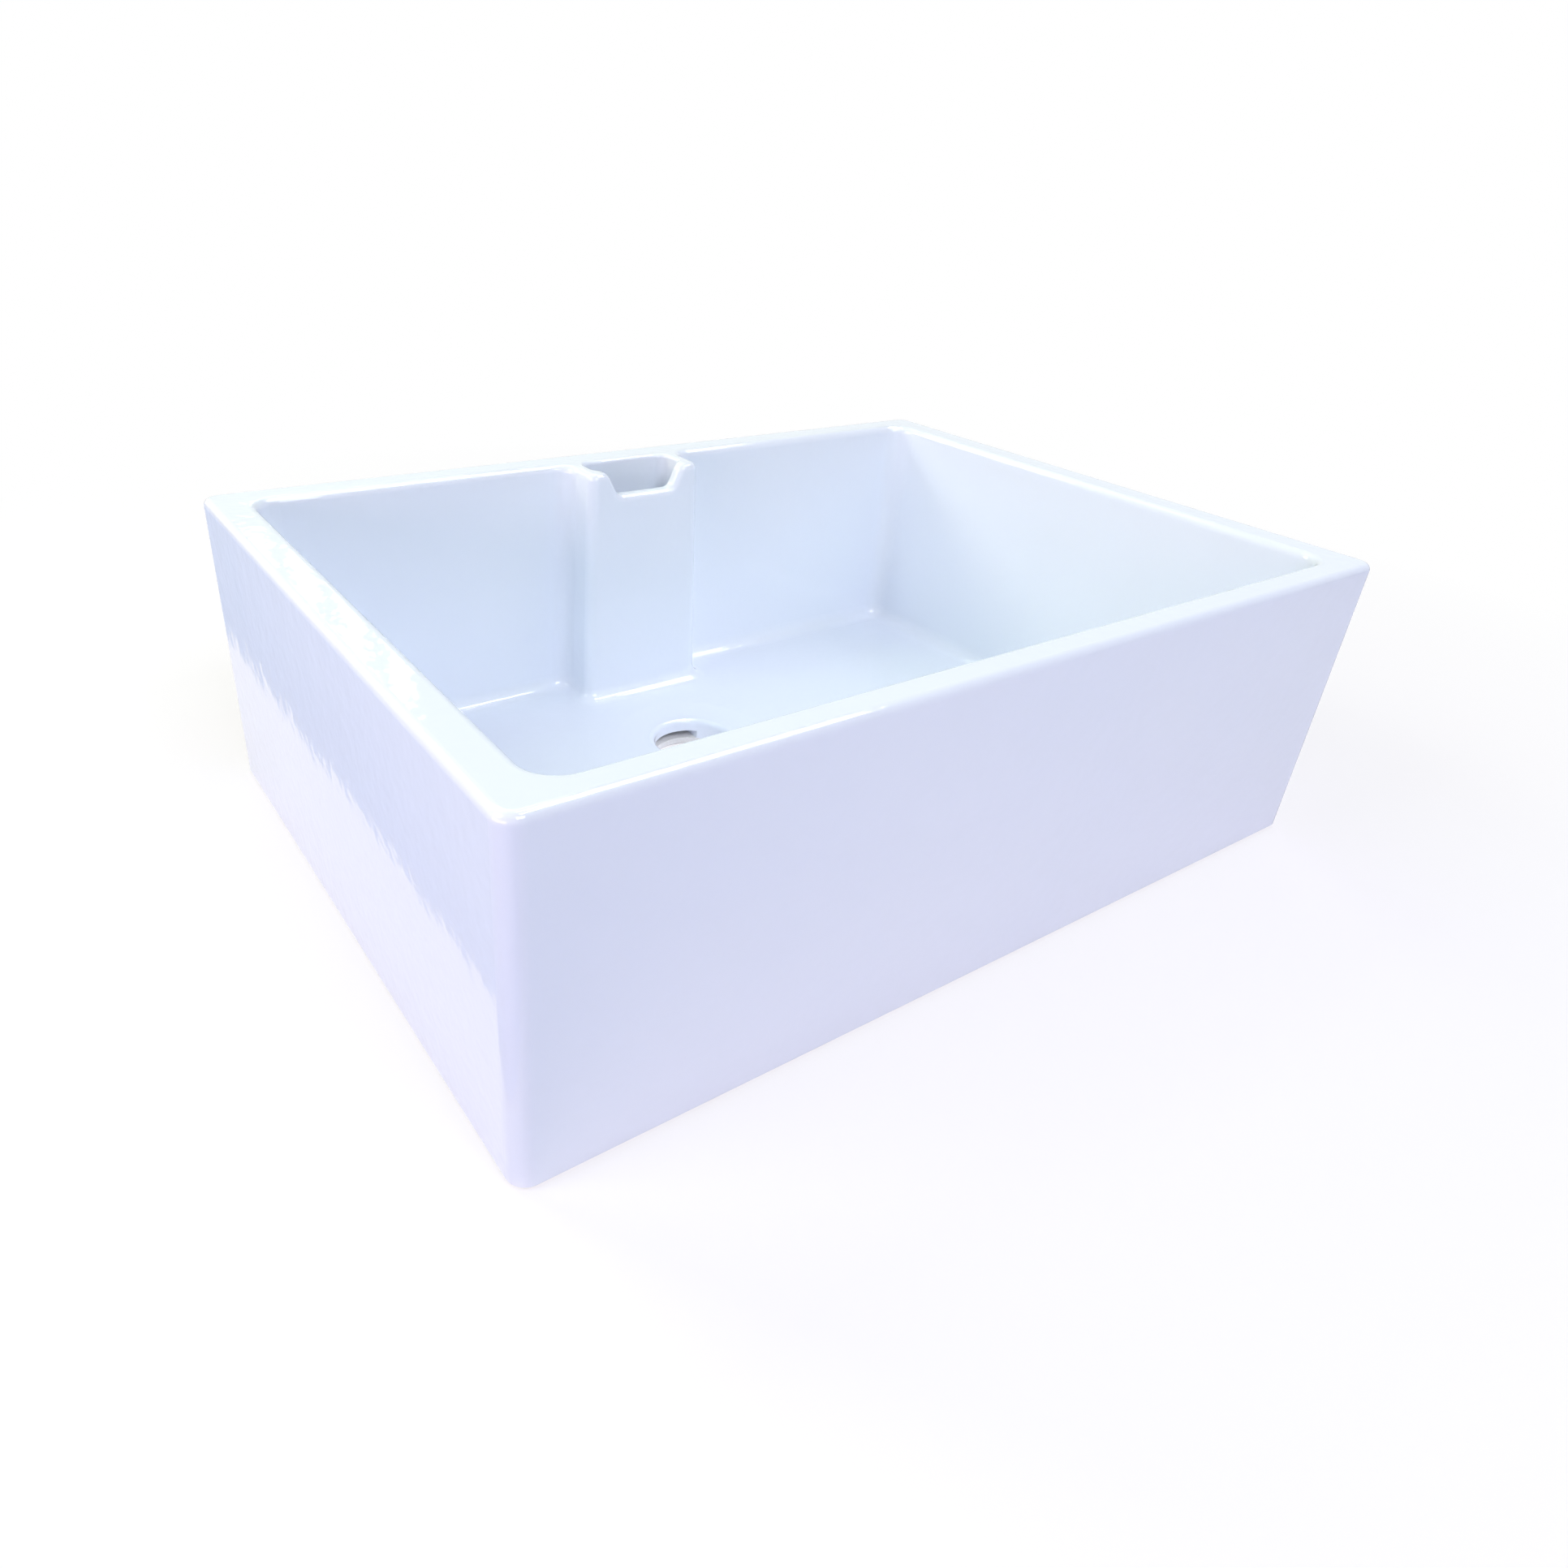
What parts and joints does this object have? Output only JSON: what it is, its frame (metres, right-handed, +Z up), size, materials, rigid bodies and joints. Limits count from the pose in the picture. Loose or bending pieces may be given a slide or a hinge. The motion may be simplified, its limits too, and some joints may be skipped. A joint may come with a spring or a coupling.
{
  "type": "farmhouse apron front sink",
  "caption": "Ceramic butler sink with a flat apron front, a deep single bowl, a round waste hole and an overflow box with a weir notch in the back wall.",
  "frame": {"origin": "middle of the flat underside", "axes": "+Z up, the apron front faces -Y, the width runs along X"},
  "size_m": [0.64, 0.455, 0.208],
  "materials": {
    "glazed_fireclay": "gloss",
    "glazed_fireclay_box": "gloss",
    "bare_fireclay": "matt"
  },
  "bodies": {
    "root": {"bowl": "glazed_fireclay", "overflow_box": "glazed_fireclay_box", "duct_cover": "bare_fireclay"}
  },
  "joints": []
}
